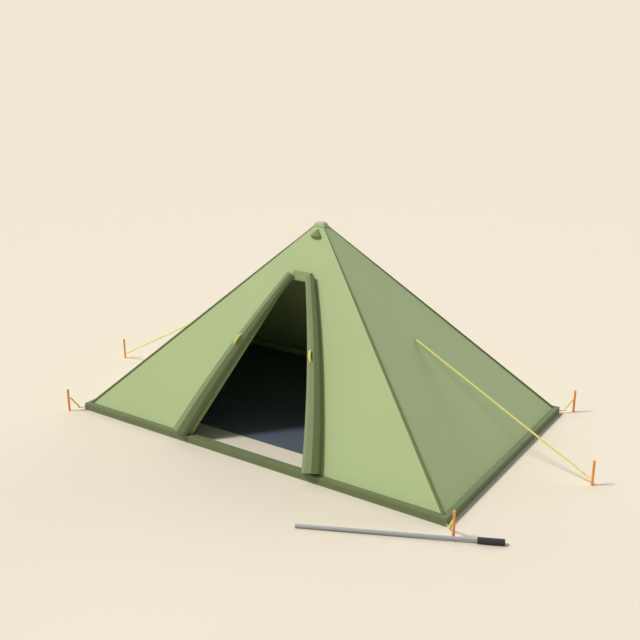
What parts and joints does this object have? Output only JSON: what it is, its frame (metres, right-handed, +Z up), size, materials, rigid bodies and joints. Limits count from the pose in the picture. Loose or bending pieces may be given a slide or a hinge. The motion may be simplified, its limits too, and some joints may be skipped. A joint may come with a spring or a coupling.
{
  "type": "trekking pole shelter",
  "caption": "Pyramid shelter held up by a telescoping walking pole, with rolled door halves, raised hem, groundsheet, guy lines, pull-out pegs and a spare pole beside it",
  "frame": {"origin": "the point on the ground, on the groundsheet underside, below the middle pole and at the centre of the hem rectangle", "axes": "X across the shelter to its right, Y from the door to the back, Z up; the door faces -Y"},
  "size_m": [3.573, 2.5716, 1.2552],
  "materials": {
    "panel_cloth": "matt light green tent cloth",
    "trim_cloth": "matt darker green binding cloth",
    "rolled_cloth": "matt green cloth, rolled up",
    "webbing": "matt pale webbing",
    "mesh": "dark insect mesh",
    "groundsheet": "dark grey coated sheet",
    "cord": "matt yellow cord",
    "peg_paint": "satin orange",
    "pole_metal": "satin grey",
    "grip_foam": "matt dark foam",
    "dark_plastic": "matt dark"
  },
  "bodies": {
    "shelter": {"front_panel_left": "panel_cloth", "front_panel_right": "panel_cloth", "front_panel_upper": "panel_cloth", "right_panel": "panel_cloth", "left_panel": "panel_cloth", "back_panel": "panel_cloth", "door_header": "rolled_cloth", "door_roll_left": "rolled_cloth", "door_roll_right": "rolled_cloth", "door_tie_left": "cord", "door_tie_right": "cord", "vent_hood": "trim_cloth", "vent_mesh": "mesh", "ridge_binding_front_left": "trim_cloth", "ridge_binding_front_right": "trim_cloth", "ridge_binding_back_left": "trim_cloth", "ridge_binding_back_right": "trim_cloth", "hem_front": "trim_cloth", "hem_back": "trim_cloth", "hem_left": "trim_cloth", "hem_right": "trim_cloth", "apex_cap": "panel_cloth", "pole_cup": "dark_plastic", "groundsheet": "groundsheet", "guy_patch_left": "panel_cloth", "guy_patch_right": "panel_cloth", "guy_patch_back": "panel_cloth", "corner_tab_front_left": "webbing", "corner_tab_front_right": "webbing", "corner_tab_back_left": "webbing", "corner_tab_back_right": "webbing", "corner_cord_front_left": "cord", "corner_cord_front_right": "cord", "corner_cord_back_left": "cord", "corner_cord_back_right": "cord", "guy_line_left": "cord", "guy_line_right": "cord", "guy_line_back": "cord", "support_pole_grip": "grip_foam", "support_pole_upper_shaft": "pole_metal"},
    "support_expander": {"support_pole_expander": "dark_plastic"},
    "support_lower": {"support_pole_lower_shaft": "pole_metal", "support_pole_tip": "pole_metal"},
    "spare_handle": {"spare_pole_grip": "grip_foam", "spare_pole_upper_shaft": "pole_metal"},
    "spare_expander": {"spare_pole_expander": "dark_plastic"},
    "spare_lower": {"spare_pole_lower_shaft": "pole_metal", "spare_pole_tip": "pole_metal"},
    "peg_left_body": {"peg_left": "peg_paint"},
    "peg_right_body": {"peg_right": "peg_paint"},
    "peg_back_body": {"peg_back": "peg_paint"},
    "peg_front_left_body": {"peg_front_left": "peg_paint"},
    "peg_front_right_body": {"peg_front_right": "peg_paint"},
    "peg_back_left_body": {"peg_back_left": "peg_paint"},
    "peg_back_right_body": {"peg_back_right": "peg_paint"}
  },
  "joints": [
    {"name": "support_pole_slide", "type": "slide", "parent": "shelter", "child": "support_expander", "axis": [0, 0, -1], "range_m": [0, 0.192]},
    {"name": "support_pole_twist", "type": "hinge", "parent": "support_expander", "child": "support_lower", "pos_m": [0, 0, 0.7], "axis": [0, 0, 1], "range_deg": [0, 180]},
    {"name": "spare_pole_lift", "type": "slide", "parent": "shelter", "child": "spare_handle", "axis": [0, 0, 1], "range_m": [0, 0.3]},
    {"name": "spare_pole_slide", "type": "slide", "parent": "spare_handle", "child": "spare_expander", "axis": [-0.9095, -0.4156, -0.0058], "range_m": [0, 0.32]},
    {"name": "spare_pole_twist", "type": "hinge", "parent": "spare_expander", "child": "spare_lower", "pos_m": [1.613, -0.822, 0.0161], "axis": [-0.9095, -0.4156, -0.0058], "range_deg": [0, 180]},
    {"name": "peg_left_pull", "type": "slide", "parent": "shelter", "child": "peg_left_body", "axis": [0, 0, 1], "range_m": [0, 0.15]},
    {"name": "peg_right_pull", "type": "slide", "parent": "shelter", "child": "peg_right_body", "axis": [0, 0, 1], "range_m": [0, 0.15]},
    {"name": "peg_back_pull", "type": "slide", "parent": "shelter", "child": "peg_back_body", "axis": [0, 0, 1], "range_m": [0, 0.15]},
    {"name": "peg_front_left_pull", "type": "slide", "parent": "shelter", "child": "peg_front_left_body", "axis": [0, 0, 1], "range_m": [0, 0.15]},
    {"name": "peg_front_right_pull", "type": "slide", "parent": "shelter", "child": "peg_front_right_body", "axis": [0, 0, 1], "range_m": [0, 0.15]},
    {"name": "peg_back_left_pull", "type": "slide", "parent": "shelter", "child": "peg_back_left_body", "axis": [0, 0, 1], "range_m": [0, 0.15]},
    {"name": "peg_back_right_pull", "type": "slide", "parent": "shelter", "child": "peg_back_right_body", "axis": [0, 0, 1], "range_m": [0, 0.15]}
  ]
}
